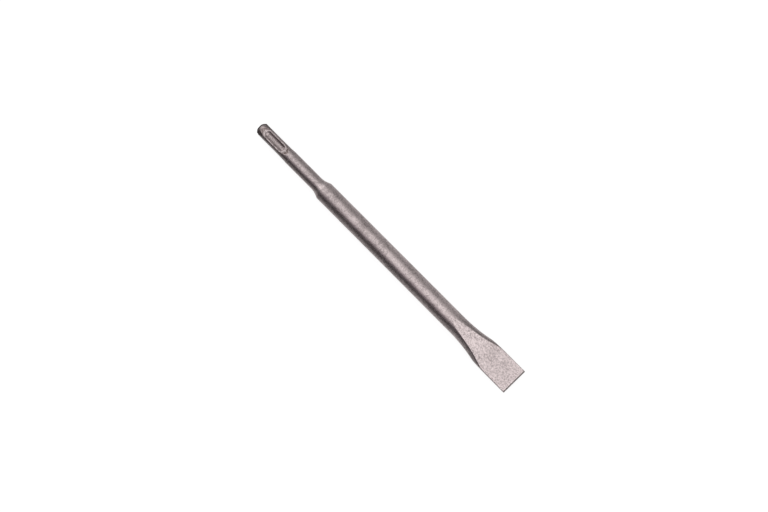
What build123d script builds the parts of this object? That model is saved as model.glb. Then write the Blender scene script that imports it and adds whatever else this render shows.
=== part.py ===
"""Flat chisel for a rotary hammer: one bar of steel, forged and turned in one piece.

The tool lies on its side with its axis along X, the struck end of the shank towards -X and the
cutting edge towards +X. The two wide faces of the blade look up and down. The origin is on the
surface that the tool lies on, below the middle of its length.

Each feature is first placed by its distance from the struck end, on an axis through that end.
"""
from build123d import *

import os
from math import radians, sqrt, tan

# Round bar
OVERALL_LENGTH = 250.0
SHANK_DIAMETER = 10.0
SHANK_LENGTH = 60.4            # from the struck end to the foot of the shoulder
BODY_DIAMETER = 14.0
SHOULDER_ANGLE = 23.0          # between the shoulder cone and the tool's axis
SHOULDER_FOOT_RADIUS = 8.0     # hollow fillet between shank and shoulder
SHOULDER_CREST_RADIUS = 2.0    # rounding between shoulder and body
STRUCK_FACE_DIAMETER = 6.4
END_CHAMFER_LENGTH = 1.8

# Two closed grooves for the locking balls, one above and one below, each with a flat land round it
LOCK_LAND_START = 4.7          # from the struck end to the level part of the land
LOCK_LAND_LENGTH = 22.3
LOCK_LAND_DEPTH = 1.15         # below the crown of the shank
LOCK_LAND_SIDE_ROOM = 0.3      # by which the round ends of the land are wider than the flat itself
LOCK_LAND_END_ANGLE = 41.0     # steepness of the ramp at each end of the land
LOCK_LAND_FOOT_RADIUS = 0.5    # hollow fillet between ramp and land
LOCK_GROOVE_RADIUS = 3.2
LOCK_GROOVE_DEPTH = 2.35       # below the crown of the shank
LOCK_RIM_LENGTH = 1.95         # land that is left beyond each end of the groove

# Two driving grooves, one on each flank, open at the struck end
DRIVE_GROOVE_LENGTH = 30.3     # from the struck end to the tip of the ramp
DRIVE_GROOVE_DEPTH = 2.1
DRIVE_FLOOR_WIDTH = 3.2
DRIVE_WALL_ANGLE = 13.0        # flare of each wall
DRIVE_CORNER_RADIUS = 0.5
DRIVE_RAMP_LENGTH = 6.0        # over which the floor rises to the surface of the shank
DRIVE_RAMP_FOOT_RADIUS = 20.0  # hollow fillet between the level floor and the ramp

# Forged blade
BLADE_WIDTH = 20.0             # along the cutting edge
BLADE_SIDE_ANGLE = 0.6         # by which each trimmed side leans in, away from the edge
FLARE_LENGTH = 53.0            # from the cutting edge back to where the body starts to spread
FLARE_RADIUS = 118.0           # curve of the spreading sides, seen from above
FLAT_LENGTH = 54.0             # from the cutting edge back to the tip of each wide face
EDGE_THICKNESS = 1.7           # of the blade, where the edge bevel starts
BEVEL_LENGTH = 0.8
CUTTING_LAND = 0.4             # blunt width left on the cutting edge

# Construction values
FLARE_SECTIONS = 7
CUT_MARGIN = 1.0               # by which each cutting shape overshoots the bar

SHANK_RADIUS = SHANK_DIAMETER / 2
BODY_RADIUS = BODY_DIAMETER / 2
BLADE_START = OVERALL_LENGTH - FLARE_LENGTH


def turned_bar() -> Part:
    """The round tool from the struck end to the blade, turned in one go."""
    shoulder_length = (BODY_RADIUS - SHANK_RADIUS) / tan(radians(SHOULDER_ANGLE))
    corners = [
        (0, 0, 0),
        (0, STRUCK_FACE_DIAMETER / 2, 0),
        (END_CHAMFER_LENGTH, SHANK_RADIUS, 0),
        (SHANK_LENGTH, SHANK_RADIUS, SHOULDER_FOOT_RADIUS),
        (SHANK_LENGTH + shoulder_length, BODY_RADIUS, SHOULDER_CREST_RADIUS),
        (BLADE_START, BODY_RADIUS, 0),
        (BLADE_START, 0, 0),
    ]
    points = [(along, radius) for along, radius, _ in corners]
    roundings = [rounding for _, _, rounding in corners]
    outline = FilletPolyline(*points, radius=roundings, close=True)
    return revolve(Plane.XZ * make_face(outline), axis=Axis.X)


def flared_bar() -> Part:
    """The forged end, which spreads sideways in an arc while it keeps the body's height."""
    sections = []
    for index in range(FLARE_SECTIONS):
        along = FLARE_LENGTH * index / (FLARE_SECTIONS - 1)
        half_width = BODY_RADIUS + FLARE_RADIUS - sqrt(FLARE_RADIUS**2 - along**2)
        across = Plane((BLADE_START + along, 0, 0), x_dir=(0, 1, 0), z_dir=(1, 0, 0))
        sections.append(across * Ellipse(half_width, BODY_RADIUS))
    return loft(sections)


def side_envelope() -> Part:
    """Space between the two wide faces: level at first, then a long wedge down to the edge bevel."""
    bevel_start = OVERALL_LENGTH - BEVEL_LENGTH
    wedge_start = OVERALL_LENGTH - FLAT_LENGTH
    upper = [
        (-CUT_MARGIN, BODY_RADIUS + CUT_MARGIN),
        (wedge_start - CUT_MARGIN, BODY_RADIUS + CUT_MARGIN),
        (wedge_start, BODY_RADIUS),
        (bevel_start, EDGE_THICKNESS / 2),
        (OVERALL_LENGTH, CUTTING_LAND / 2),
    ]
    lower = [(along, -height) for along, height in reversed(upper)]
    outline = Plane.XZ * make_face(Polyline(*upper, *lower, close=True))
    return extrude(outline, amount=BLADE_WIDTH, both=True)


def plan_envelope() -> Part:
    """Space between the two trimmed sides of the blade, seen from above."""
    spread = tan(radians(BLADE_SIDE_ANGLE))
    half_edge = BLADE_WIDTH / 2
    half_start = half_edge - (OVERALL_LENGTH + CUT_MARGIN) * spread
    half_end = half_edge + CUT_MARGIN * spread
    outline = Polyline(
        (-CUT_MARGIN, -half_start),
        (OVERALL_LENGTH + CUT_MARGIN, -half_end),
        (OVERALL_LENGTH + CUT_MARGIN, half_end),
        (-CUT_MARGIN, half_start),
        close=True,
    )
    return extrude(make_face(outline), amount=BODY_DIAMETER, both=True)


def lock_land_cutter() -> Part:
    """Shape that presses the flat land into the crown: a long slot with round, ramped ends."""
    land_height = SHANK_RADIUS - LOCK_LAND_DEPTH
    half_flat = sqrt(SHANK_RADIUS**2 - land_height**2)
    middle = LOCK_LAND_START + LOCK_LAND_LENGTH / 2
    slot = SlotOverall(LOCK_LAND_LENGTH, 2 * (half_flat + LOCK_LAND_SIDE_ROOM))
    slot = Pos(middle, 0, land_height) * slot
    cutter = extrude(slot, amount=LOCK_LAND_DEPTH + CUT_MARGIN, taper=LOCK_LAND_END_ANGLE - 90)
    foot = cutter.faces().sort_by(Axis.Z)[0].edges()
    return fillet(foot, LOCK_LAND_FOOT_RADIUS)


def lock_groove_cutter() -> Part:
    """Round-bottomed channel with a ball-shaped end at each side, sunk into the land."""
    land_height = SHANK_RADIUS - LOCK_LAND_DEPTH
    centre_height = SHANK_RADIUS - LOCK_GROOVE_DEPTH + LOCK_GROOVE_RADIUS
    half_mouth = sqrt(LOCK_GROOVE_RADIUS**2 - (centre_height - land_height) ** 2)
    first = LOCK_LAND_START + LOCK_RIM_LENGTH + half_mouth
    last = LOCK_LAND_START + LOCK_LAND_LENGTH - LOCK_RIM_LENGTH - half_mouth
    channel = Cylinder(LOCK_GROOVE_RADIUS, last - first, rotation=(0, 90, 0))
    channel = Pos((first + last) / 2, 0, centre_height) * channel
    ball = Sphere(LOCK_GROOVE_RADIUS)
    return channel + Pos(first, 0, centre_height) * ball + Pos(last, 0, centre_height) * ball


def drive_groove_cutter() -> Part:
    """Flared slot along one flank, with a level floor that ends in a smooth ramp."""
    floor = SHANK_RADIUS - DRIVE_GROOVE_DEPTH
    mouth = SHANK_RADIUS + CUT_MARGIN
    half_floor = DRIVE_FLOOR_WIDTH / 2
    half_mouth = half_floor + (mouth - floor) * tan(radians(DRIVE_WALL_ANGLE))
    outline = FilletPolyline(
        (floor, -half_floor),
        (mouth, -half_mouth),
        (mouth, half_mouth),
        (floor, half_floor),
        radius=(DRIVE_CORNER_RADIUS, 0, 0, DRIVE_CORNER_RADIUS),
        close=True,
    )
    section = Plane((-CUT_MARGIN, 0, 0), x_dir=(0, 1, 0), z_dir=(1, 0, 0)) * make_face(outline)
    rise = DRIVE_GROOVE_DEPTH / DRIVE_RAMP_LENGTH
    path = FilletPolyline(
        (-CUT_MARGIN, floor),
        (DRIVE_GROOVE_LENGTH - DRIVE_RAMP_LENGTH, floor),
        (DRIVE_GROOVE_LENGTH + CUT_MARGIN, SHANK_RADIUS + CUT_MARGIN * rise),
        radius=DRIVE_RAMP_FOOT_RADIUS,
    )
    return sweep(section, path=path)


def flat_chisel() -> Part:
    """The whole tool, on an axis through the struck end."""
    tool = (turned_bar() + flared_bar()) & side_envelope() & plan_envelope()
    for turn in (0, 180):
        facing = Rot(turn, 0, 0)
        tool -= facing * lock_land_cutter()
        tool -= facing * lock_groove_cutter()
        tool -= facing * drive_groove_cutter()
    return tool


if __name__ == "__main__":
    os.makedirs("parts", exist_ok=True)
    chisel = Pos(-OVERALL_LENGTH / 2, 0, BODY_RADIUS) * flat_chisel()
    chisel.label = "flat_chisel"
    export_step(chisel, "parts/flat_chisel.step")
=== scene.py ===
"""Looks of a flat chisel for a rotary hammer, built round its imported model.

The chisel is one piece of forged steel. Its skin starts as a plain tube of rings and columns, and a
Geometry Nodes tree lets every point of that tube slide inwards until it lies on the steel, whose
form is a rule of the tool's sizes. Lengths are in millimetres from the struck end, on the tool's
axis, until the tree's last step puts the skin in its place in metres.
"""
from __future__ import annotations

import logging
import math
from dataclasses import dataclass, fields
from enum import Enum
from types import SimpleNamespace
from typing import Any, Mapping, Sequence

import bpy
from bpy.types import ColorRamp, Material, Mesh, Node, NodeSocket, NodeTree, Object
from mathutils import Matrix, Vector

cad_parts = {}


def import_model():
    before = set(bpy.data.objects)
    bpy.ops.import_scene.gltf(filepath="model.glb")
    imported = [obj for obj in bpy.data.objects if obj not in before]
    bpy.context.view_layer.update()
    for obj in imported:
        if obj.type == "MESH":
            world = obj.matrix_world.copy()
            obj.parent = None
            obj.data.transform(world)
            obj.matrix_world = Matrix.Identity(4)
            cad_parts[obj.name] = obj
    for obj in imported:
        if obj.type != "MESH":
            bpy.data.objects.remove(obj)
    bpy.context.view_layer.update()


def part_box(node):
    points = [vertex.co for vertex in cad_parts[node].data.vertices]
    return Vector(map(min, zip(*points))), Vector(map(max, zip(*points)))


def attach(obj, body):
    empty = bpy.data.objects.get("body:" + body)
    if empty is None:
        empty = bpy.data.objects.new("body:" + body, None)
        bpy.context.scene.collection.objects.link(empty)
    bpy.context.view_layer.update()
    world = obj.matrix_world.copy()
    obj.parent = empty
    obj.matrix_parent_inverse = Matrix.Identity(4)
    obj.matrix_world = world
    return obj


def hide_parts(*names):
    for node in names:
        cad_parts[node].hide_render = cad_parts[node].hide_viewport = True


LOG = logging.getLogger("chisel")
NODE = "flat_chisel"
MM = 0.001

Span = tuple[float, float]
Point = tuple[float, float, float]
Colour = tuple[float, float, float, float]
Stops = tuple[Span, ...]
Settings = Mapping[str, Any] | None
Values = Mapping[str | int, Any] | None

BLACK: Colour = (0.0, 0.0, 0.0, 1.0)
WHITE: Colour = (1.0, 1.0, 1.0, 1.0)
# Power of the curve of an oval
OVAL = 2.0
# Noises whose seeds differ lie this far apart, so that they share no pattern
SEED_SHIFT: Point = (37.0, 11.0, 23.0)
NOISE_ROUGHNESS = 0.55


# Node trees as Python expressions


class Term:
    """A number's socket in a node tree, which Python's operators turn into Math nodes."""

    def __init__(self, graph: Graph, socket: NodeSocket) -> None:
        """Keeps the socket and the graph that it belongs to."""
        self.graph = graph
        self.socket = socket

    def __add__(self, other: Number) -> Term:
        """Sum."""
        return self.graph.math("ADD", self, other)

    __radd__ = __add__

    def __sub__(self, other: Number) -> Term:
        """Difference."""
        return self.graph.math("SUBTRACT", self, other)

    def __rsub__(self, other: Number) -> Term:
        """Difference, with the plain number first."""
        return self.graph.math("SUBTRACT", other, self)

    def __mul__(self, other: Number) -> Term:
        """Product."""
        return self.graph.math("MULTIPLY", self, other)

    __rmul__ = __mul__

    def __truediv__(self, other: Number) -> Term:
        """Quotient."""
        return self.graph.math("DIVIDE", self, other)

    def __rtruediv__(self, other: Number) -> Term:
        """Quotient, with the plain number first."""
        return self.graph.math("DIVIDE", other, self)

    def __neg__(self) -> Term:
        """The number with its sign turned."""
        return self.graph.math("MULTIPLY", self, -1.0)

    def __abs__(self) -> Term:
        """The number without its sign."""
        return self.graph.math("ABSOLUTE", self)

    def root(self) -> Term:
        """Square root."""
        return self.graph.math("SQRT", self)

    def raised(self, power: Number) -> Term:
        """The number to a power."""
        return self.graph.math("POWER", self, power)

    def tangent(self) -> Term:
        """Tangent of an angle in degrees."""
        return self.graph.math("TANGENT", self.graph.math("RADIANS", self))

    def least(self, other: Number) -> Term:
        """The smaller of two numbers."""
        return self.graph.math("MINIMUM", self, other)

    def most(self, other: Number) -> Term:
        """The larger of two numbers."""
        return self.graph.math("MAXIMUM", self, other)

    def soft_least(self, other: Number, reach: Number) -> Term:
        """The smaller of two numbers, rounded over a reach where they meet."""
        return self.graph.math("SMOOTH_MIN", self, other, reach)

    def soft_most(self, other: Number, reach: Number) -> Term:
        """The larger of two numbers, rounded over a reach where they meet."""
        return self.graph.math("SMOOTH_MAX", self, other, reach)

    def rise(self, low: float, high: float) -> Term:
        """Smooth step from 0 at the low number to 1 at the high one."""
        values = {"Value": self, "From Min": low, "From Max": high}
        return self.graph.term("ShaderNodeMapRange", {"interpolation_type": "SMOOTHSTEP"}, values, "Result")

    def blend(self, first: Number, second: Number) -> Term:
        """From the first number to the second as this share goes from 0 to 1."""
        return first + self * (second - first)


Number = Term | float


class Graph:
    """A node tree that is written as expressions on Term."""

    def __init__(self, tree: NodeTree) -> None:
        """Keeps the tree that nodes are added to."""
        self.tree = tree

    def node(self, kind: str, settings: Settings = None, values: Values = None) -> Node:
        """Adds one node.

        Args:
            kind: Blender's name for the type of node.
            settings: the node's own options, set before its sockets. "stops" are a ramp's stops,
                each a position and a colour.
            values: a number, a colour or a Term for each input, by its name or index.

        Returns:
            The new node.
        """
        node = self.tree.nodes.new(kind)
        for name, setting in (settings or {}).items():
            if name == "stops":
                self._set_stops(node.color_ramp, setting)
            else:
                setattr(node, name, setting)
        for key, value in (values or {}).items():
            socket = node.inputs[key] if isinstance(key, int) else self._shown(node.inputs, key)
            if isinstance(value, Term):
                self.tree.links.new(value.socket, socket)
            else:
                socket.default_value = value
        return node

    def term(
        self, kind: str, settings: Settings = None, values: Values = None, output: str | int = 0
    ) -> Term:
        """Adds one node as node() does, and returns one of its outputs."""
        return self.output(self.node(kind, settings, values), output)

    def output(self, node: Node, key: str | int = 0) -> Term:
        """An output of a node, by its name or index."""
        socket = node.outputs[key] if isinstance(key, int) else self._shown(node.outputs, key)
        return Term(self, socket)

    def math(self, operation: str, *numbers: Number) -> Term:
        """A Math node on one to three numbers."""
        return self.term("ShaderNodeMath", {"operation": operation}, dict(enumerate(numbers)))

    def vector(self, x: Number, y: Number, z: Number) -> Term:
        """A vector from its three parts."""
        return self.term("ShaderNodeCombineXYZ", None, {"X": x, "Y": y, "Z": z})

    def scaled(self, vector: Term, factor: Number) -> Term:
        """A vector times a number."""
        values = {"Vector": vector, "Scale": factor}
        return self.term("ShaderNodeVectorMath", {"operation": "SCALE"}, values)

    def parts(self, vector: Term) -> tuple[Term, Term, Term]:
        """The three parts of a vector."""
        node = self.node("ShaderNodeSeparateXYZ", None, {"Vector": vector})
        return self.output(node, "X"), self.output(node, "Y"), self.output(node, "Z")

    def noise(self, where: Term, size: float, detail: float = 2.0, seed: int = 0) -> Term:
        """Noise round 0, from about -1 to 1.

        Args:
            where: the place.
            size: about how large the patches are.
            detail: how many finer layers the patches have.
            seed: a number that sets this noise apart from others.

        Returns:
            The noise at the place.
        """
        shift = tuple(part * seed for part in SEED_SHIFT)
        shifted = self.term("ShaderNodeVectorMath", {"operation": "ADD"}, {0: where, 1: shift})
        values = {"Vector": shifted, "Scale": 1.0 / size, "Detail": detail, "Roughness": NOISE_ROUGHNESS}
        return self.term("ShaderNodeTexNoise", None, values, "Fac") * 2.0 - 1.0

    def mix(self, share: Number, first: Any, second: Any) -> Term:
        """A colour between two colours."""
        values = {"Factor": share, "A": first, "B": second}
        return self.term("ShaderNodeMix", {"data_type": "RGBA"}, values, "Result")

    def graded(self, value: Term, stops: Stops) -> Term:
        """A number that follows another one, straight from each stop to the next.

        Args:
            value: the number to follow.
            stops: pairs of that number and the level there, in rising order.

        Returns:
            The level, which keeps the first and the last stop's beyond them.
        """
        first, last = stops[0][0], stops[-1][0]
        peak = max(level for _, level in stops)
        shades = [
            ((place - first) / (last - first), (*(level / peak,) * 3, 1.0)) for place, level in stops
        ]
        share = (value - first) / (last - first)
        return self.term("ShaderNodeValToRGB", {"stops": shades}, {"Fac": share}) * peak

    @staticmethod
    def _shown(sockets: Any, name: str) -> NodeSocket:
        """The socket of that name which the node's options leave in use."""
        return next(socket for socket in sockets if socket.name == name and socket.enabled)

    @staticmethod
    def _set_stops(ramp: ColorRamp, stops: Sequence[tuple[float, Colour]]) -> None:
        """Gives a colour ramp its stops.

        Args:
            ramp: a new ramp, which has two stops of its own.
            stops: each stop's position and colour.
        """
        while len(ramp.elements) < len(stops):
            ramp.elements.new(0.5)
        for element, (position, colour) in zip(ramp.elements, stops):
            element.position = position
            element.color = colour


class ShapeGraph(Graph):
    """A Geometry Nodes tree that works on one shape, with its named inputs' values in a modifier."""

    def __init__(self, name: str) -> None:
        """Makes an empty tree that takes and gives back geometry.

        Args:
            name: the tree's name.
        """
        super().__init__(bpy.data.node_groups.new(name, "GeometryNodeTree"))
        interface = self.tree.interface
        interface.new_socket(name="Geometry", in_out="INPUT", socket_type="NodeSocketGeometry")
        interface.new_socket(name="Geometry", in_out="OUTPUT", socket_type="NodeSocketGeometry")
        self.entry = self.tree.nodes.new("NodeGroupInput")
        self.shape = self.output(self.entry)
        self.values: dict[str, float] = {}

    def sizes(self, feature: Any) -> SimpleNamespace:
        """Adds a named input for each number of a feature.

        Args:
            feature: a dataclass whose fields are numbers.

        Returns:
            The inputs as Terms, under the names of the fields.
        """
        found = {}
        for item in fields(feature):
            name = f"{type(feature).__name__} {item.name}".replace("_", " ")
            socket = self.tree.interface.new_socket(
                name=name, in_out="INPUT", socket_type="NodeSocketFloat"
            )
            self.values[socket.identifier] = float(getattr(feature, item.name))
            found[item.name] = Term(self, self._entry_socket(socket.identifier))
        return SimpleNamespace(**found)

    def place(self, vector: Term, socket: str = "Position") -> None:
        """Sets the place of every point, or shifts it where the socket is "Offset"."""
        values = {"Geometry": self.shape, socket: vector}
        self.shape = self.term("GeometryNodeSetPosition", None, values)

    def shift_often(self, step: Term, times: int) -> None:
        """Shifts every point again and again.

        Args:
            step: the shift, worked out anew each time.
            times: how often.
        """
        first = self.node("GeometryNodeRepeatInput")
        last = self.node("GeometryNodeRepeatOutput")
        first.pair_with_output(last)
        first.inputs["Iterations"].default_value = times
        self.tree.links.new(self.shape.socket, first.inputs["Geometry"])
        self.shape = self.output(first, "Geometry")
        self.place(step, "Offset")
        self.tree.links.new(self.shape.socket, last.inputs["Geometry"])
        self.shape = self.output(last, "Geometry")

    def keep(self, name: str, value: Term, data_type: str = "FLOAT") -> None:
        """Keeps a value at every point under a name."""
        values = {"Geometry": self.shape, "Name": name, "Value": value}
        self.shape = self.term("GeometryNodeStoreNamedAttribute", {"data_type": data_type}, values)

    def kept(self, name: str) -> Term:
        """A vector that was kept at every point."""
        settings = {"data_type": "FLOAT_VECTOR"}
        return self.term("GeometryNodeInputNamedAttribute", settings, {"Name": name}, "Attribute")

    def seeded_noise(self, where: Term, size: Term, seed: Term) -> Term:
        """Noise round 0 whose patches have the size given, and whose pattern follows the seed."""
        values = {"Vector": where, "W": seed, "Scale": 1.0 / size, "Detail": 1.0}
        return self.term("ShaderNodeTexNoise", {"noise_dimensions": "4D"}, values, "Fac") * 2.0 - 1.0

    def finish(self, material: Material) -> None:
        """Ends the tree in real geometry, all of it in one finish.

        Args:
            material: the finish.
        """
        real = self.term("GeometryNodeRealizeInstances", None, {"Geometry": self.shape})
        dressed = self.node("GeometryNodeSetMaterial", None, {"Geometry": real})
        dressed.inputs["Material"].default_value = material
        self.node("NodeGroupOutput", None, {0: self.output(dressed)})

    def apply(self, piece: Object) -> Object:
        """Runs the tree on an object once and leaves it as a plain mesh.

        Args:
            piece: a mesh object.

        Returns:
            The same object, with the result as its mesh and no modifier.
        """
        modifier = piece.modifiers.new(self.tree.name, "NODES")
        modifier.node_group = self.tree
        for identifier, value in self.values.items():
            modifier[identifier] = value
        depsgraph = bpy.context.evaluated_depsgraph_get()
        made = bpy.data.meshes.new_from_object(
            piece.evaluated_get(depsgraph), preserve_all_data_layers=True, depsgraph=depsgraph
        )
        piece.modifiers.remove(modifier)
        piece.data = made
        return piece

    def _entry_socket(self, identifier: str) -> NodeSocket:
        """The group input's socket with that identifier."""
        return next(s for s in self.entry.outputs if s.identifier == identifier)


# Sizes of the tool, in millimetres and degrees, each place measured from the struck end


@dataclass(frozen=True)
class Bar:
    """The turned bar: shank, shoulder and body."""

    length: float
    body_radius: float
    shank_radius: float = 5.0
    shank_length: float = 60.4
    shoulder_angle: float = 23.0
    shoulder_foot_reach: float = 2.0
    shoulder_crest_reach: float = 0.3
    struck_radius: float = 3.2
    chamfer_length: float = 1.8
    end_rounding: float = 0.45
    edge_rounding: float = 0.3


@dataclass(frozen=True)
class LockGroove:
    """The closed groove for a locking ball, in its flat land, above and below."""

    land_start: float = 4.7
    land_length: float = 22.3
    land_depth: float = 1.15
    side_room: float = 0.3
    end_stretch: float = 1.65
    end_foot_reach: float = 1.2
    ramp_angle: float = 41.0
    foot_reach: float = 0.5
    radius: float = 3.2
    depth: float = 2.35
    rim_length: float = 1.95


@dataclass(frozen=True)
class DriveGroove:
    """The driving groove along each flank, open at the struck end."""

    length: float = 30.3
    depth: float = 2.1
    half_floor: float = 1.6
    wall_angle: float = 13.0
    corner_reach: float = 0.8
    ramp_length: float = 6.0
    foot_reach: float = 4.8
    rim_rounding: float = 0.16


@dataclass(frozen=True)
class Blade:
    """The forged blade."""

    half_width: float
    side_angle: float = 0.6
    flare_length: float = 54.3
    flare_radius: float = 116.0
    flat_length: float = 56.5
    flank_power: float = 1.7
    flank_length: float = 24.0
    half_thickness: float = 0.85
    bevel_length: float = 0.8
    half_land: float = 0.2
    edge_rounding: float = 0.12
    side_rounding: float = 0.7


@dataclass(frozen=True)
class Relief:
    """Unevenness that forging and blasting leave on the steel, as heights and patch sizes."""

    wave_height: float = 0.05
    wave_size: float = 14.0
    dent_height: float = 0.02
    dent_size: float = 3.5
    probe_depth: float = 0.5
    seed: float = 4.0


@dataclass(frozen=True)
class WearAndShade:
    """Where edges are painted brighter, as wear and as highlight, and where forging scale and painted shade
    turn the steel brown.

    A span is where a share rises from 0 to 1. The corner span is a share of the relief's probe
    depth, the crown span a share of the bar's height, and all other spans are in millimetres. The
    ring is the brown on the ramp round the land, part scale and part painted shade of its step,
    from its inner border outwards.
    """

    # The corner span finds convex edges, painted brighter, and concave creases, painted brown as shade
    corner: Span = (0.05, 0.6)
    nose_ridge: Span = (2.5, 5.5)
    crown: Span = (0.7, 0.95)
    # Spans of the shade painted brown in the ball groove and on the struck end
    face: Span = (0.0, 0.12)
    soot_depth: Span = (0.05, 0.35)
    soot_margin: Span = (0.0, 0.4)
    nose_shade: Span = (4.0, 6.5)
    nose_shade_share: float = 1.6
    # The ring: brown on the ramp round the land, part scale and part painted shade of its step
    ring_width: float = 1.5
    ring_border: Span = (0.0, 0.6)
    ring_height: Span = (-0.6, -0.2)
    ramp_room: float = 0.35
    end_gain: float = 1.6
    half_change: float = 1.0
    inner_struck_end: float = -1.2
    inner_blade_end: float = -0.8
    side_share: float = 0.86
    struck_end_share: float = 0.78
    blade_end_share: float = 1.0


@dataclass(frozen=True)
class Zone:
    """A stretch of rings or columns, up to an end, that lie about one step apart."""

    end: float
    step: float


@dataclass(frozen=True)
class Spacing:
    """Steps between the skin's rings on each stretch of the tool, and how far a stretch reaches."""

    nose: float = 0.09
    chamfer: float = 0.16
    past_chamfer: float = 0.4
    grooves: float = 0.22
    past_grooves: float = 1.0
    neck: float = 1.0
    before_shoulder: float = 3.0
    shoulder: float = 0.4
    past_shoulder_foot: float = 8.0
    body: float = 1.5
    before_face: float = 2.0
    face: float = 0.4
    before_bevel: float = 0.3
    bevel: float = 0.1
    edge: float = 0.03


# Columns of the skin by their angle up from the flank, in degrees: floor and walls of the driving
# groove, its lips, the side of the bar, the sides of the land and of the ball groove, its bottom
COLUMN_ZONES = (Zone(17.0, 2.9), Zone(27.0, 0.85), Zone(45.0, 3.6), Zone(62.0, 1.45), Zone(90.0, 2.35))
# Rings that close each end of the skin, as shares of its radius
CAP_RINGS = (0.3, 0.55, 0.75, 0.9)


def spaced(zones: Sequence[Zone]) -> list[float]:
    """Places from 0 to the last zone's end.

    Args:
        zones: stretches that follow each other.

    Returns:
        The places, evenly spaced within each zone.
    """
    places = [0.0]
    for zone in zones:
        start = places[-1]
        count = math.ceil((zone.end - start) / zone.step)
        places += [start + (zone.end - start) * index / count for index in range(1, count + 1)]
    return places


# Finishes


@dataclass(frozen=True)
class ForgedSteel:
    """Shot-blasted forged steel, satin and warm grey, with brown scale and painted brown shade in the
    hollows.
    """

    pale: Colour = (0.84, 0.743, 0.738, 1.0)
    grey: Colour = (0.36, 0.311, 0.311, 1.0)
    # Brown of forging scale and of the shade painted in creases, in the ball groove and on the struck end
    scale_brown: Colour = (0.115, 0.075, 0.06, 1.0)
    pit: Colour = (0.14, 0.11, 0.115, 1.0)
    # Bright steel of scratches and worn edges, and of the highlight painted along convex edges
    worn: Colour = (0.97, 0.88, 0.87, 1.0)
    grain_size: float = 0.62
    mottle_size: float = 1.8
    cloud_size: float = 12.0
    grey_middle: float = 0.4
    grain_contrast: float = 1.65
    mottle_contrast: float = 0.42
    cloud_contrast: float = 0.4
    crown_polish: float = 0.3
    pit_size: float = 1.0
    pit_mottle: float = 0.3
    pit_span: Span = (0.44, 0.58)
    pit_share: float = 0.85
    scratch_length: float = 5.0
    scratch_width: float = 0.4
    scratch_way: Span = (0.8, 0.6)
    scratch_patch: Span = (0.05, 0.3)
    scratch_span: Span = (0.36, 0.5)
    scratch_share: float = 0.8
    # Convex edges are painted brighter: part wear, part painted highlight
    ridge_level: float = 0.8
    ridge_mottle: float = 0.6
    ridge_span: Span = (0.15, 0.9)
    ridge_share: float = 0.7
    # Painted shade, deeper in the ball groove and on the struck end
    soot_share: float = 0.16
    # The ring round the land is part scale, part painted shade of its step
    ring_share: float = 0.7
    ring_mottle: float = 0.4
    # Concave creases are painted brown as shade
    hollow_share: float = 0.55
    hollow_mottle: float = 0.5
    # How strongly the scale and the painted shade of the ring and the creases turn the steel brown
    scale_span: Span = (0.1, 0.95)
    scale_share: float = 0.85
    roughness: float = 0.37
    mottle_roughness: float = 0.05
    cloud_roughness: float = 0.03
    scale_roughness: float = 0.12
    grain_height: float = 0.6
    mottle_height: float = 0.4
    grain_depth: float = 0.045
    grain_strength: float = 1.0

    def material(self) -> Material:
        """Builds the material.

        Returns:
            The finish of the whole tool, which reads the shares that its skin carries.
        """
        material, graph, shader, out = new_material("forged_steel")
        where = in_millimetres(graph)
        grain = graph.noise(where, self.grain_size, detail=3.0, seed=1)
        mottle = graph.noise(where, self.mottle_size, detail=3.0, seed=2)
        cloud = graph.noise(where, self.cloud_size, detail=2.0, seed=3)
        rough = 1.0 - attribute(graph, "polish") * self.crown_polish

        fine = rough * (grain * self.grain_contrast + mottle * self.mottle_contrast)
        greyed = (self.grey_middle + fine + cloud * self.cloud_contrast).rise(0.0, 1.0)
        steel = graph.mix(greyed, self.pale, self.grey)
        pits = graph.noise(where, self.pit_size, detail=1.0, seed=5) + mottle * self.pit_mottle
        steel = graph.mix(pits.rise(*self.pit_span) * rough * self.pit_share, steel, self.pit)
        steel = graph.mix(self.scratches(graph, where) * self.scratch_share, steel, self.worn)

        # Painted highlight and wear: convex edges turn brighter
        ridge = attribute(graph, "ridge") * (self.ridge_level + mottle * self.ridge_mottle)
        bright = graph.mix(ridge.rise(*self.ridge_span) * self.ridge_share, steel, self.worn)
        # Painted shade: brown deeper in the ball groove and on the struck end
        groove_shaded = graph.mix(attribute(graph, "soot") * self.soot_share, bright, self.scale_brown)
        # Brown ring round the land: part scale, part painted shade of its step
        ring = attribute(graph, "scale") * (self.ring_share + mottle * self.ring_mottle)
        # Painted shade: concave creases turn brown
        hollow = attribute(graph, "hollow") * (self.hollow_share + mottle * self.hollow_mottle)
        # Scale and painted shade together: the ring and the creases turn brown and rougher
        scale = ring.most(hollow)
        colour = graph.mix(scale.rise(*self.scale_span) * self.scale_share, groove_shaded, self.scale_brown)

        uneven = mottle * self.mottle_roughness + cloud * self.cloud_roughness
        roughness = self.roughness + uneven + scale * self.scale_roughness
        height = (grain * self.grain_height + mottle * self.mottle_height) * rough
        depth = {"Strength": self.grain_strength, "Distance": self.grain_depth * MM, "Height": height}
        bump = graph.term("ShaderNodeBump", None, depth)
        shader.inputs["Metallic"].default_value = 1.0
        for name, value in (("Base Color", colour), ("Roughness", roughness), ("Normal", bump)):
            graph.tree.links.new(value.socket, shader.inputs[name])
        graph.tree.links.new(shader.outputs[0], out.inputs["Surface"])
        return material

    def scratches(self, graph: Graph, where: Term) -> Term:
        """Short bright marks that run askew to the tool, in a few places.

        Args:
            graph: the material's graph.
            where: the place in millimetres.

        Returns:
            The marks' share, 0 to 1.
        """
        x, y, z = graph.parts(where)
        cosine, sine = self.scratch_way
        along = (x * cosine + y * sine) / self.scratch_length
        across = (y * cosine - x * sine) / self.scratch_width
        stretched = graph.vector(along, across, z / self.scratch_width)
        patch = graph.noise(where, self.cloud_size, detail=1.0, seed=7).rise(*self.scratch_patch)
        return graph.noise(stretched, 1.0, detail=1.0, seed=6).rise(*self.scratch_span) * patch


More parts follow.
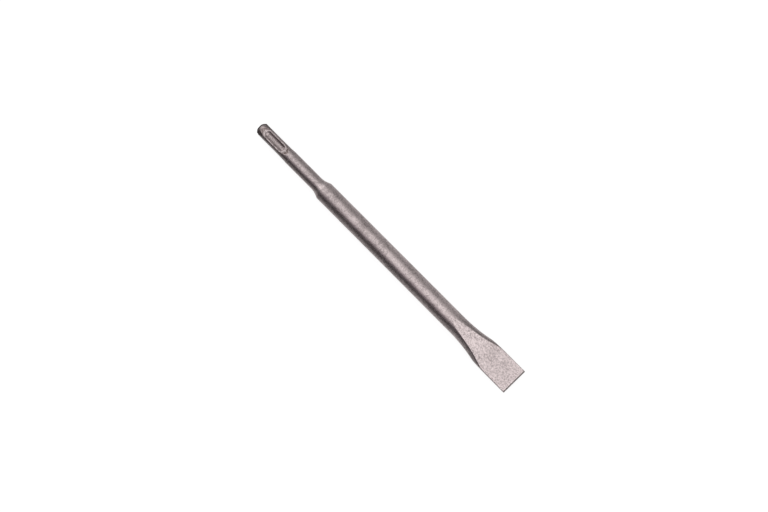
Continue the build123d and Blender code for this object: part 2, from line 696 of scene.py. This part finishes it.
@dataclass(frozen=True)
class PaleFloor:
    """Matt white floor, which shows as plain white and keeps the object's shadow."""

    albedo: float = 0.32
    lift: float = 0.8
    fade_start: float = 0.35
    fade_end: float = 0.9

    def material(self) -> Material:
        """Builds the material.

        Returns:
            The finish of the floor, plain white to the camera far from the tool.
        """
        material, graph, shader, out = new_material("pale_floor")
        graph.tree.nodes.remove(shader)
        x, y, _ = graph.parts(graph.term("ShaderNodeTexCoord", None, None, "Object"))
        far = (x * x + y * y).root().rise(self.fade_start, self.fade_end)
        seen = seen_rays(graph)
        grey = (self.albedo, self.albedo, self.albedo, 1.0)
        matt = graph.term("ShaderNodeBsdfDiffuse", None, {"Color": grey})
        lifted = graph.term("ShaderNodeEmission", None, {"Strength": self.lift})
        near = graph.term("ShaderNodeAddShader", None, {0: matt, 1: lifted})
        white = graph.term("ShaderNodeEmission", None, {"Strength": 1.0})
        shown = graph.term("ShaderNodeMixShader", None, {"Fac": far, 1: near, 2: white})
        mixed = graph.term("ShaderNodeMixShader", None, {"Fac": seen, 1: matt, 2: shown})
        graph.tree.links.new(mixed.socket, out.inputs["Surface"])
        return material


@dataclass(frozen=True)
class Glow:
    """How bright a studio piece looks from the tool, where a level of 1 is white.

    The first two gradings go by the angle from the upright, across the tool towards +Y and along
    it towards +X. The third goes by the place along the tool, in millimetres from its middle. The
    skew turns the first grading towards +Y, by so many degrees for each degree further towards -X.
    """

    across: Stops = ()
    along: Stops = ()
    place: Stops = ()
    skew: float = 0.0
    skew_middle: float = -14.0
    skew_limit: float = 5.0
    tint: Point = (1.0, 0.98, 0.98)

    def material(self, name: str, eye_height: float) -> Material:
        """Builds the material.

        Args:
            name: the material's name.
            eye_height: height on the tool from which the angles are measured.

        Returns:
            A finish that only glows.
        """
        material, graph, shader, out = new_material(name)
        graph.tree.nodes.remove(shader)
        x, y, z = graph.parts(graph.term("ShaderNodeTexCoord", None, None, "Object"))
        above = z - eye_height
        across = graph.math("DEGREES", graph.math("ARCTAN2", y, above))
        along = graph.math("DEGREES", graph.math("ARCTAN2", x, above))
        if self.skew:
            turn = (along - self.skew_middle) * self.skew
            across = across + turn.least(self.skew_limit / 2.0).most(-self.skew_limit)
        measures = ((self.across, across), (self.along, along), (self.place, x / MM))
        level, peak = 1.0, 1.0
        for stops, measure in measures:
            if stops:
                level = graph.graded(measure, stops) * level
                peak *= max(number for _, number in stops)
        colour = graph.mix(level / peak, BLACK, (*self.tint, 1.0))
        glow = graph.term("ShaderNodeEmission", None, {"Color": colour, "Strength": peak})
        graph.tree.links.new(glow.socket, out.inputs["Surface"])
        return material


def new_material(name: str) -> tuple[Material, Graph, Node, Node]:
    """Makes a material.

    Args:
        name: its name.

    Returns:
        The material, its graph, its main shader and its output node.
    """
    material = bpy.data.materials.new(name)
    material.use_nodes = True
    nodes = material.node_tree.nodes
    return material, Graph(material.node_tree), nodes["Principled BSDF"], nodes["Material Output"]


def in_millimetres(graph: Graph) -> Term:
    """Object coordinates in millimetres."""
    return graph.scaled(graph.term("ShaderNodeTexCoord", None, None, "Object"), 1.0 / MM)


def attribute(graph: Graph, name: str) -> Term:
    """A number that the mesh carries at each point."""
    return graph.term("ShaderNodeAttribute", {"attribute_name": name}, None, "Fac")


def seen_rays(graph: Graph) -> Term:
    """Tells rays that show something from rays that only light something.

    Args:
        graph: a material's or the world's graph.

    Returns:
        1 on rays from the camera, from a mirror or through glass, and 0 on all others.
    """
    path = graph.node("ShaderNodeLightPath")
    camera = graph.output(path, "Is Camera Ray")
    glossy = graph.output(path, "Is Glossy Ray")
    through = graph.output(path, "Is Transmission Ray")
    return camera.most(glossy).most(through)


# The chisel


@dataclass
class Chisel:
    """The whole tool, one piece of steel."""

    bar: Bar
    blade: Blade
    lock: LockGroove = LockGroove()
    drive: DriveGroove = DriveGroove()
    relief: Relief = Relief()
    wear: WearAndShade = WearAndShade()
    spacing: Spacing = Spacing()
    finish: ForgedSteel = ForgedSteel()
    slide_steps: int = 40
    slide_share: float = 0.8

    @classmethod
    def from_box(cls, low: Vector, high: Vector) -> Chisel:
        """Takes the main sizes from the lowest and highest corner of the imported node."""
        length, width, height = (high - low) / MM
        return cls(Bar(length=length, body_radius=height / 2), Blade(half_width=width / 2))

    def build(self) -> Object:
        """Makes the skin, forms it and dresses it.

        Returns:
            The tool as one smooth mesh.
        """
        piece = bpy.data.objects.new("chisel_steel", self.tube())
        bpy.context.scene.collection.objects.link(piece)
        self.forming().apply(piece)
        piece.data.polygons.foreach_set("use_smooth", [True] * len(piece.data.polygons))
        LOG.info("%s: %d faces", piece.name, len(piece.data.polygons))
        return piece

    def stations(self) -> list[float]:
        """Places the rings along the tool.

        Returns:
            The places, close together where the tool's form changes.
        """
        bar, blade, step = self.bar, self.blade, self.spacing
        return spaced(
            [
                Zone(bar.end_rounding, step.nose),
                Zone(bar.chamfer_length + step.past_chamfer, step.chamfer),
                Zone(self.drive.length + step.past_grooves, step.grooves),
                Zone(bar.shank_length - step.before_shoulder, step.neck),
                Zone(bar.shank_length + step.past_shoulder_foot, step.shoulder),
                Zone(bar.length - blade.flat_length - step.before_face, step.body),
                Zone(bar.length - blade.bevel_length - step.before_bevel, step.face),
                Zone(bar.length - blade.edge_rounding, step.bevel),
                Zone(bar.length, step.edge),
            ]
        )

    def angles(self) -> list[float]:
        """Places the columns round the tool.

        Returns:
            Their angles, close together at the walls and rims of the grooves.
        """
        quarter = spaced(COLUMN_ZONES)
        half = quarter + [180.0 - angle for angle in reversed(quarter[:-1])]
        return [math.radians(angle) for angle in half + [180.0 + angle for angle in half[1:-1]]]

    def tube(self) -> Mesh:
        """Makes a plain closed tube of radius 1 along X.

        Returns:
            The tube, with its rings and columns in place and its ends closed.
        """
        stations, angles = self.stations(), self.angles()
        rings = [(stations[0], share) for share in CAP_RINGS]
        rings += [(station, 1.0) for station in stations]
        rings += [(stations[-1], share) for share in reversed(CAP_RINGS)]
        count = len(angles)
        points = [
            (station, share * math.cos(angle), share * math.sin(angle))
            for station, share in rings
            for angle in angles
        ]
        faces = []
        for ring in range(len(rings) - 1):
            for column in range(count):
                after = (column + 1) % count
                here, there = ring * count, (ring + 1) * count
                faces.append((here + column, here + after, there + after, there + column))
        points += [(stations[0], 0.0, 0.0), (stations[-1], 0.0, 0.0)]
        first, last = len(points) - 2, len(points) - 1
        end = (len(rings) - 1) * count
        for column in range(count):
            after = (column + 1) % count
            faces.append((first, after, column))
            faces.append((last, end + column, end + after))
        mesh = bpy.data.meshes.new("chisel_tube")
        mesh.from_pydata(points, [], faces)
        return mesh

    def forming(self) -> ShapeGraph:
        """The tree that turns the tube into the tool.

        Returns:
            The tree, ready to run on the tube.
        """
        graph = ShapeGraph("chisel_forming")
        bar, blade, lock, drive, relief = (
            graph.sizes(feature)
            for feature in (self.bar, self.blade, self.lock, self.drive, self.relief)
        )
        rule = SteelRule(graph, bar, blade, lock, drive, self.wear)

        # Each step that reads the place or the normal reads it anew
        position = graph.term("GeometryNodeInputPosition")
        normal = graph.term("GeometryNodeInputNormal", None, None, "Normal")
        here = x, across, up = graph.parts(position)
        spot = Spot.at(*here)
        radius = (across * across + up * up).root()
        graph.keep("around", graph.vector(radius, across / radius, up / radius), "FLOAT_VECTOR")
        share, cosine, sine = graph.parts(graph.kept("around"))
        graph.place(rule.start(x, cosine, sine))
        step = graph.scaled(rule.inward(cosine, sine), rule.outside(spot) * self.slide_share)
        graph.shift_often(step, self.slide_steps)
        graph.place(graph.vector(x, across * share, up * share))

        wave = graph.seeded_noise(position, relief.wave_size, relief.seed) * relief.wave_height
        dent = graph.seeded_noise(position, relief.dent_size, relief.seed + 1.0) * relief.dent_height
        graph.place(graph.scaled(normal, wave + dent), "Offset")

        depth = relief.probe_depth
        inside = rule.outside(self._along(graph, here, normal, -depth)) + depth
        outside = rule.outside(self._along(graph, here, normal, depth)) - depth
        # Convex edges, which the finish paints brighter, as wear and as a painted highlight
        graph.keep("ridge", (inside / depth).rise(*self.wear.corner) * x.rise(*self.wear.nose_ridge))
        # Concave creases, which the finish paints brown as shade
        graph.keep("hollow", (-outside / depth).rise(*self.wear.corner))
        # Brown ring round the land: part scale, part painted shade of its step
        graph.keep("scale", rule.scale_ring(spot))
        # Painted shade, deeper in the ball groove and on the struck end
        graph.keep("soot", rule.painted_groove_shade(spot))
        graph.keep("polish", rule.polish(spot))
        graph.place(graph.vector((x - bar.length / 2.0) * MM, across * MM, (up + bar.body_radius) * MM))
        graph.finish(self.finish.material())
        return graph

    @staticmethod
    def _along(graph: Graph, point: Sequence[Term], way: Term, distance: Number) -> Spot:
        """A point moved along a direction."""
        return Spot.at(*(part + toward * distance for part, toward in zip(point, graph.parts(way))))


@dataclass(frozen=True)
class Spot:
    """A point by its place along the tool and its distances from the axis, sideways and upwards."""

    x: Term
    side: Term
    up: Term

    @classmethod
    def at(cls, x: Term, y: Term, z: Term) -> Spot:
        """The point at three coordinates, of which y and z may be below zero."""
        return cls(x, abs(y), abs(z))


@dataclass
class SteelRule:
    """The form of the tool as a rule: how far outside the steel any point lies."""

    graph: Graph
    bar: SimpleNamespace
    blade: SimpleNamespace
    lock: SimpleNamespace
    drive: SimpleNamespace
    wear: WearAndShade

    def turned_radius(self, x: Term) -> Term:
        """Follows the end chamfer, the shank, the coned shoulder and the body.

        Args:
            x: the place along the tool.

        Returns:
            Radius of the turned bar there.
        """
        bar = self.bar
        cone = bar.shank_radius + (x - bar.shank_length) * bar.shoulder_angle.tangent()
        stepped = cone.soft_most(bar.shank_radius, bar.shoulder_foot_reach)
        stepped = stepped.soft_least(bar.body_radius, bar.shoulder_crest_reach)
        chamfer = bar.struck_radius + x * (bar.shank_radius - bar.struck_radius) / bar.chamfer_length
        return stepped.soft_least(chamfer, bar.edge_rounding)

    def section(self, x: Term) -> tuple[Term, Term, Term, Term]:
        """Measures the tool's section.

        Args:
            x: the place along the tool.

        Returns:
            Half width and half height of the round or oval bar, and those that the blade's sides
            and faces leave of it.
        """
        bar, blade = self.bar, self.blade
        round_height = self.turned_radius(x)
        along = (x - bar.length + blade.flare_length).most(0.0)
        radius = blade.flare_radius
        flare = radius - (radius * radius - along * along).root()
        round_width = round_height + flare
        to_end = bar.length - x
        wedge_length = blade.flat_length - blade.bevel_length
        slope = (bar.body_radius - blade.half_thickness) / wedge_length
        wedge = blade.half_thickness + (to_end - blade.bevel_length) * slope
        bevel_slope = (blade.half_thickness - blade.half_land) / blade.bevel_length
        height = wedge.least(blade.half_land + to_end * bevel_slope)
        width = blade.half_width - to_end * blade.side_angle.tangent()
        return round_width, round_height, width, height

    def flank_power(self, x: Term) -> Term:
        """Power of the section's curve: an oval's, or less where forging leaves leaner flanks."""
        forged = (x - self.bar.length + self.blade.flat_length) / self.blade.flank_length
        return forged.rise(0.0, 1.0).blend(OVAL, self.blade.flank_power)

    def start(self, x: Term, cosine: Term, sine: Term) -> Term:
        """Puts a point of the tube on an oval through the section's corners.

        The corner lies where the round side meets the wide face, or halfway round the bar where
        the face doesn't reach so far out.

        Args:
            x: the place along the tool.
            cosine: cosine of the point's angle up from the flank.
            sine: sine of that angle.

        Returns:
            The place from which the point slides inwards.
        """
        halfway, wider = math.sqrt(0.5), math.sqrt(2.0)
        round_width, round_height, width, height = self.section(x)
        corner_height = height.least(round_height * halfway)
        power = self.flank_power(x)
        part = (corner_height / round_height).raised(power)
        corner_width = (round_width * (1.0 - part).raised(1.0 / power)).least(width)
        widest = round_width.least(width)
        tallest = round_height.least(height)
        across = (corner_width * cosine * wider).least(widest).most(-widest)
        up = (corner_height * sine * wider).least(tallest).most(-tallest)
        return self.graph.vector(x, across, up)

    def inward(self, cosine: Term, sine: Term) -> Term:
        """Finds the way in which a point slides.

        Args:
            cosine: cosine of the point's angle up from the flank.
            sine: sine of that angle.

        Returns:
            A direction, nearly level at the flanks and nearly upright at the crowns.
        """
        level = cosine * cosine * cosine * cosine * cosine
        upright = sine * sine * sine * sine * sine
        way = self.graph.vector(0.0, -level, -upright)
        return self.graph.term("ShaderNodeVectorMath", {"operation": "NORMALIZE"}, {0: way})

    def outside(self, spot: Spot) -> Term:
        """Measures how far outside the steel a point lies.

        Args:
            spot: the point.

        Returns:
            About the distance to the steel, below zero inside it.
        """
        bar, blade = self.bar, self.blade
        round_width, round_height, width, height = self.section(spot.x)
        across = (spot.side * spot.side + spot.up * spot.up).root()
        power = self.flank_power(spot.x)
        reach = (spot.side / round_width).raised(power) + (spot.up / round_height).raised(power)
        skin = across - across / reach.raised(1.0 / power)
        skin = skin.soft_most(spot.up - height, bar.edge_rounding)
        skin = skin.soft_most(spot.side - width, blade.side_rounding)
        skin = skin.soft_most(self.lock_cut(spot), bar.edge_rounding)
        skin = skin.soft_most(self.drive_cut(spot), self.drive.rim_rounding)
        skin = skin.soft_most(-spot.x, bar.end_rounding)
        return skin.soft_most(spot.x - bar.length, blade.edge_rounding)

    def land(self, spot: Spot) -> tuple[Term, Term, Term]:
        """Measures where a point lies on the land.

        Args:
            spot: the point.

        Returns:
            How far the point lies outside the land's outline, seen from above, the land's height,
            and how far along its two ends the point lies, from 0 to 1.
        """
        bar, lock = self.bar, self.lock
        level = bar.shank_radius - lock.land_depth
        half_flat = (bar.shank_radius * bar.shank_radius - level * level).root()
        half_slot = half_flat + lock.side_room
        end = half_slot * lock.end_stretch
        last = lock.land_start + lock.land_length - end
        beyond = self._beyond(spot.x, lock.land_start + end, last) / lock.end_stretch
        away = (beyond * beyond + spot.side * spot.side).root() - half_slot
        return away, level, (beyond / half_slot).least(1.0)

    def lock_cut(self, spot: Spot) -> Term:
        """Measures the hollow of the land and its ball groove.

        Args:
            spot: the point.

        Returns:
            How deep the point lies in the hollow, below zero outside it.
        """
        bar, lock = self.bar, self.lock
        away, level, at_end = self.land(spot)
        foot_reach = at_end.blend(lock.foot_reach, lock.end_foot_reach)
        ramp = level + away.soft_most(0.0, foot_reach) * lock.ramp_angle.tangent()
        centre = bar.shank_radius - lock.depth + lock.radius
        above = centre - level
        half_mouth = (lock.radius * lock.radius - above * above).root()
        first = lock.land_start + lock.rim_length + half_mouth
        last = lock.land_start + lock.land_length - lock.rim_length - half_mouth
        beyond = self._beyond(spot.x, first, last)
        height = spot.up - centre
        reach = (beyond * beyond + spot.side * spot.side + height * height).root()
        return (spot.up - ramp).soft_most(lock.radius - reach, bar.edge_rounding)

    def drive_cut(self, spot: Spot) -> Term:
        """Measures the hollow of the driving groove.

        Args:
            spot: the point.

        Returns:
            How deep the point lies in the hollow, below zero outside it.
        """
        bar, drive = self.bar, self.drive
        slope = drive.depth / drive.ramp_length
        climb = (spot.x - drive.length + drive.ramp_length).soft_most(0.0, drive.foot_reach) * slope
        above_floor = spot.side - (bar.shank_radius - drive.depth + climb)
        half_width = drive.half_floor + above_floor.most(0.0) * drive.wall_angle.tangent()
        return above_floor.soft_least(half_width - spot.up, drive.corner_reach)

    def scale_ring(self, spot: Spot) -> Term:
        """Finds the brown ring on the ramp round the land, part forging scale and part painted shade of the
        land's step.

        Args:
            spot: the point.

        Returns:
            The ring's share, 0 to 1.
        """
        bar, lock, wear = self.bar, self.lock, self.wear
        away, level, at_end = self.land(spot)
        crown = (bar.shank_radius * bar.shank_radius - spot.side * spot.side).most(0.0).root()
        ramp = (crown - level).most(0.0) / lock.ramp_angle.tangent() + wear.ramp_room
        outer = (at_end * wear.end_gain).least(1.0).blend(wear.ring_width, ramp)
        past_middle = spot.x - lock.land_start - lock.land_length / 2.0
        toward_edge = past_middle.rise(-wear.half_change, wear.half_change)
        inside = toward_edge.blend(wear.inner_struck_end, wear.inner_blade_end)
        inner = at_end * at_end * at_end * inside
        ring = 1.0 - abs(away - (inner + outer) / 2.0) / ((outer - inner) / 2.0)
        near = (spot.up - level).rise(*wear.ring_height)
        end_share = toward_edge.blend(wear.struck_end_share, wear.blade_end_share)
        return ring.rise(*wear.ring_border) * near * at_end.blend(wear.side_share, end_share)

    def polish(self, spot: Spot) -> Term:
        """Share of wear that has smoothed the crown of the round bar, 0 to 1."""
        _, round_height, _, height = self.section(spot.x)
        return (spot.up / round_height).rise(*self.wear.crown) * (height - spot.up).rise(*self.wear.face)

    def painted_groove_shade(self, spot: Spot) -> Term:
        """Finds where shade is painted brown, deeper in the ball groove and on the struck end.

        Args:
            spot: the point.

        Returns:
            The painted shade's share, 0 to 1 in the groove and more on the struck end.
        """
        wear = self.wear
        away, level, _ = self.land(spot)
        groove = (level - spot.up).rise(*wear.soot_depth) * (-away).rise(*wear.soot_margin)
        return groove.most((1.0 - spot.x.rise(*wear.nose_shade)) * wear.nose_shade_share)

    @staticmethod
    def _beyond(x: Term, first: Term, last: Term) -> Term:
        """How far a place lies before the first or after the last of two places."""
        return (first - x).most(x - last).most(0.0)


# The studio


class Toward(Enum):
    """Where a studio card stands, seen from the tool."""

    NEAR = (0.0, -1.0)
    FAR = (0.0, 1.0)
    STRUCK_END = (-1.0, 0.0)
    EDGE = (1.0, 0.0)


@dataclass(frozen=True)
class Card:
    """A studio card that only reflections see, between two angles from the upright."""

    name: str
    toward: Toward
    top_angle: float
    foot_angle: float
    glow: Glow
    span: Span = (-0.42, 0.42)
    distance: float = 0.5

    def corners(self) -> list[Point]:
        """Places the card.

        Returns:
            The four corners, the two lower ones first.
        """
        ahead_x, ahead_y = self.toward.value
        found = []
        for angle, sides in ((self.foot_angle, self.span), (self.top_angle, reversed(self.span))):
            reach = self.distance * math.sin(math.radians(angle))
            height = self.distance * math.cos(math.radians(angle))
            for side in sides:
                x, y = ahead_x * reach + abs(ahead_y) * side, ahead_y * reach + abs(ahead_x) * side
                found.append((x, y, height))
        return found


FADE_TO_SHANK = ((-300.0, 0.72), (-240.0, 0.8), (-190.0, 0.88), (-115.0, 1.0), (20.0, 1.08))
NEAR_FADE = ((-300.0, 0.6), (-240.0, 0.68), (-190.0, 0.84), (-115.0, 1.0), (20.0, 1.08))
NEAR_GLOW = Glow(
    across=((-89.5, 0.04), (-60.0, 0.04), (-52.0, 0.05), (-46.0, 0.13), (-40.0, 0.27), (-28.0, 0.57)),
    place=NEAR_FADE,
    tint=(1.0, 0.86, 0.93),
)
FAR_GLOW = Glow(
    across=((28.0, 0.74), (41.0, 0.53), (50.0, 0.38), (60.0, 0.32), (89.5, 0.31)),
    place=FADE_TO_SHANK,
    tint=(1.0, 0.97, 0.97),
)
EDGE_GLOW = Glow(along=((30.0, 0.7), (38.0, 0.5), (50.0, 0.25), (89.5, 0.14)))
UPPER_GLOW = Glow(along=((-50.0, 0.58), (-28.0, 0.66)))
END_GLOW = Glow(along=((-89.5, 0.3), (-76.0, 0.42), (-70.0, 0.9), (-64.0, 1.7), (-52.0, 1.6)))
BLADE_GLOW = Glow(along=((-90.0, 0.2), (90.0, 0.2)))
CANOPY_GLOW = Glow(
    across=((-30.0, 0.58), (-16.0, 0.84), (-6.0, 0.98), (4.0, 1.0), (17.0, 0.92), (30.0, 0.74)),
    along=(
        (-30.0, 0.66), (-20.0, 0.78), (-17.0, 0.88), (-13.0, 1.0), (-6.0, 1.06), (2.0, 1.13),
        (8.0, 1.15), (11.0, 1.31), (17.0, 1.37), (30.0, 1.15),
    ),
    skew=0.6,
)
MAT_GLOW = Glow(
    across=(
        (-140.0, 0.75), (-126.0, 0.66), (-106.0, 0.34), (-90.0, 0.17),
        (90.0, 0.36), (98.0, 0.44), (116.0, 0.56), (140.0, 0.65),
    ),
    place=((-120.0, 0.72), (-85.0, 0.8), (-50.0, 0.9), (-10.0, 1.0)),
)
END_MAT_GLOW = Glow(along=((-160.0, 0.12), (-90.0, 0.06)))


@dataclass
class Studio:
    """Floor, daylight, lamp and the pieces that grade what the steel mirrors."""

    floor_half: float = 6.0
    ambient: float = 0.7
    eye_height: float = 0.007
    lamp_size: float = 1.6
    lamp_power: float = 5.2
    lamp_place: Point = (-0.25, 0.1, 1.5)
    canopy_half: float = 0.52
    canopy_height: float = 0.9
    mat_half_length: float = 0.4
    mat_half_width: float = 0.5
    mat_height: float = 0.0004
    end_mat_height: float = 0.0008
    end_mat_start: float = -0.127
    cards: tuple[Card, ...] = (
        Card("near_card", Toward.NEAR, 28.0, 89.5, NEAR_GLOW, (-1.1, 0.42)),
        Card("far_card", Toward.FAR, 28.0, 89.5, FAR_GLOW, (-0.6, 0.42)),
        Card("edge_card", Toward.EDGE, 30.0, 89.5, EDGE_GLOW),
        Card("end_card", Toward.STRUCK_END, 52.0, 89.5, END_GLOW, (-0.15, 0.3), 0.7),
        Card("upper_card", Toward.STRUCK_END, 28.0, 50.0, UPPER_GLOW, (-0.24, 0.24)),
        Card("blade_card", Toward.FAR, 60.0, 90.0, BLADE_GLOW, (0.069, 0.14), 0.03),
    )

    def build(self) -> None:
        """Sets everything up."""
        floor = self._rectangle(self.floor_half, self.floor_half, 0.0)
        self._sheet("floor", floor, PaleFloor().material())
        self.daylight()
        self.lamp()
        for card in self.cards:
            self._mirrored(card.name, card.corners(), card.glow)
        canopy = self._rectangle(self.canopy_half, self.canopy_half, self.canopy_height)
        self._mirrored("canopy", canopy, CANOPY_GLOW)
        self.mats()

    def mats(self) -> None:
        """Grey mats on the floor round the tool, which only the steel's reflections see."""
        mat = self._rectangle(self.mat_half_length, self.mat_half_width, self.mat_height)
        self._mirrored("mat", mat, MAT_GLOW)
        end_mat = [(min(x, self.end_mat_start), y, self.end_mat_height) for x, y, _ in mat]
        self._mirrored("end_mat", end_mat, END_MAT_GLOW)

    def daylight(self) -> None:
        """White surroundings for the camera and for mirrors, and softer light for the rest."""
        world = bpy.data.worlds.new("studio")
        world.use_nodes = True
        bpy.context.scene.world = world
        graph = Graph(world.node_tree)
        soft = graph.term("ShaderNodeBackground", None, {"Strength": self.ambient})
        white = graph.term("ShaderNodeBackground", None, {"Strength": 1.0})
        for shade in (soft, white):
            shade.socket.node.inputs["Color"].default_value = WHITE
        mixed = graph.term("ShaderNodeMixShader", None, {"Fac": seen_rays(graph), 1: soft, 2: white})
        out = world.node_tree.nodes["World Output"]
        graph.tree.links.new(mixed.socket, out.inputs["Surface"])

    def lamp(self) -> None:
        """A large soft lamp overhead."""
        data = bpy.data.lights.new("soft_lamp", "AREA")
        data.shape = "SQUARE"
        data.size = self.lamp_size
        data.energy = self.lamp_power
        lamp = bpy.data.objects.new("soft_lamp", data)
        lamp.location = self.lamp_place
        lamp.rotation_euler = (-Vector(self.lamp_place)).to_track_quat("-Z", "Y").to_euler()
        lamp.visible_glossy = False
        bpy.context.scene.collection.objects.link(lamp)

    @staticmethod
    def _rectangle(half_x: float, half_y: float, z: float) -> list[Point]:
        """Corners of a level rectangle round the origin."""
        return [(-half_x, -half_y, z), (half_x, -half_y, z), (half_x, half_y, z), (-half_x, half_y, z)]

    @staticmethod
    def _sheet(name: str, corners: Sequence[Point], material: Material) -> Object:
        """Makes a flat stage piece.

        Args:
            name: the piece's name.
            corners: its four corners in turn.
            material: its finish.

        Returns:
            The piece.
        """
        mesh = bpy.data.meshes.new(name)
        mesh.from_pydata(corners, [], [(0, 1, 2, 3)])
        mesh.materials.append(material)
        sheet = bpy.data.objects.new(name, mesh)
        bpy.context.scene.collection.objects.link(sheet)
        return sheet

    def _mirrored(self, name: str, corners: Sequence[Point], glow: Glow) -> None:
        """Adds a glowing stage piece that only reflections see.

        Args:
            name: the piece's name.
            corners: its four corners in turn.
            glow: how bright it looks.
        """
        piece = self._sheet(name, corners, glow.material(name, self.eye_height))
        piece.visible_camera = False
        piece.visible_diffuse = False
        piece.visible_transmission = False
        piece.visible_volume_scatter = False
        piece.visible_shadow = False


@dataclass
class Viewpoint:
    """The camera at the photograph's viewing angle."""

    lens: float = 70.0
    sensor: float = 36.0
    lean_to_edge: float = 12.83
    lean_to_near: float = 4.87
    axis_fall: float = 45.14
    distance: float = 1011.67
    target: Point = (2.37, -2.25, 7.0)

    def build(self) -> None:
        """Sets the camera up.

        It looks down from a direction that leans off the upright towards the cutting edge and
        the near flank, and is rolled so that the tool's axis falls to the right in the picture.
        """
        along = math.tan(math.radians(self.lean_to_edge))
        near = math.tan(math.radians(self.lean_to_near))
        back = Vector((along, -near, 1.0)).normalized()
        axis = Vector((1.0, 0.0, 0.0))
        level = (axis - back * axis.dot(back)).normalized()
        right = Matrix.Rotation(math.radians(self.axis_fall), 3, back) @ level
        up = back.cross(right)
        turn = Matrix((right, up, back)).transposed()
        data = bpy.data.cameras.new("camera")
        data.lens = self.lens
        data.sensor_width = self.sensor
        camera = bpy.data.objects.new("camera", data)
        place = (Vector(self.target) + back * self.distance) * MM
        camera.matrix_world = Matrix.Translation(place) @ turn.to_4x4()
        bpy.context.scene.collection.objects.link(camera)
        bpy.context.scene.camera = camera


def main() -> None:
    """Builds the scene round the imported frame."""
    logging.basicConfig(level=logging.INFO, format="%(name)s: %(message)s")
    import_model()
    bpy.context.scene.view_settings.view_transform = "Standard"
    Viewpoint().build()
    Studio().build()

    piece = Chisel.from_box(*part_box(NODE)).build()
    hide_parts(NODE)
    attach(piece, "root")


if __name__ == "__main__":
    main()
